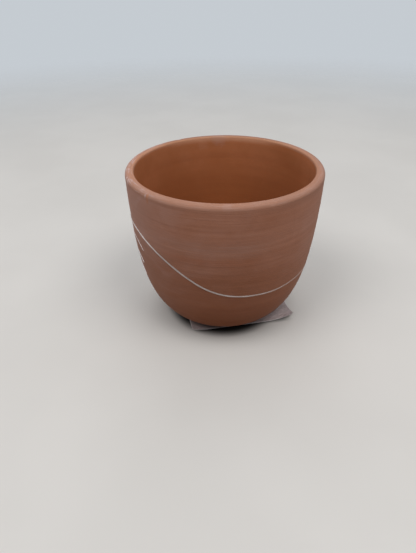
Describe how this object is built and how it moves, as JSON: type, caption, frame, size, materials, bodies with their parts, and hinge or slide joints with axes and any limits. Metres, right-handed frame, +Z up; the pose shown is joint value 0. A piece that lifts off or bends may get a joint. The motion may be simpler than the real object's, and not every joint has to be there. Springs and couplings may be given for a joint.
{
  "type": "terracotta pot",
  "caption": "Small rounded terracotta planting pot with a bullnose rim, a carved slip-filled wave line and sprig, a drain hole and a paper label under the foot.",
  "frame": {"origin": "on the pot's axis, in the plane the pot rests on (the underside of the label under its foot)", "axes": "+Z up along the pot's axis, out of its mouth; -Y is the side whose carved wave line dips; +X to the right when that side is seen from the front"},
  "size_m": [0.1, 0.1, 0.087],
  "materials": {
    "terracotta": "unglazed, matt, fine turning lines, pale mineral bloom outside",
    "white_slip": "matt, thin white clay slip rubbed into a carved line",
    "label_paper": "thin smooth paper, blank",
    "label_adhesive": "thin clear adhesive film, slight sheen"
  },
  "bodies": {
    "root": {"pot_body": "terracotta", "wave_line_inlay": "white_slip", "sprig_stem_inlay": "white_slip", "sprig_leaf_inlays": "white_slip", "base_label": "label_paper", "label_adhesive": "label_adhesive"}
  },
  "joints": []
}
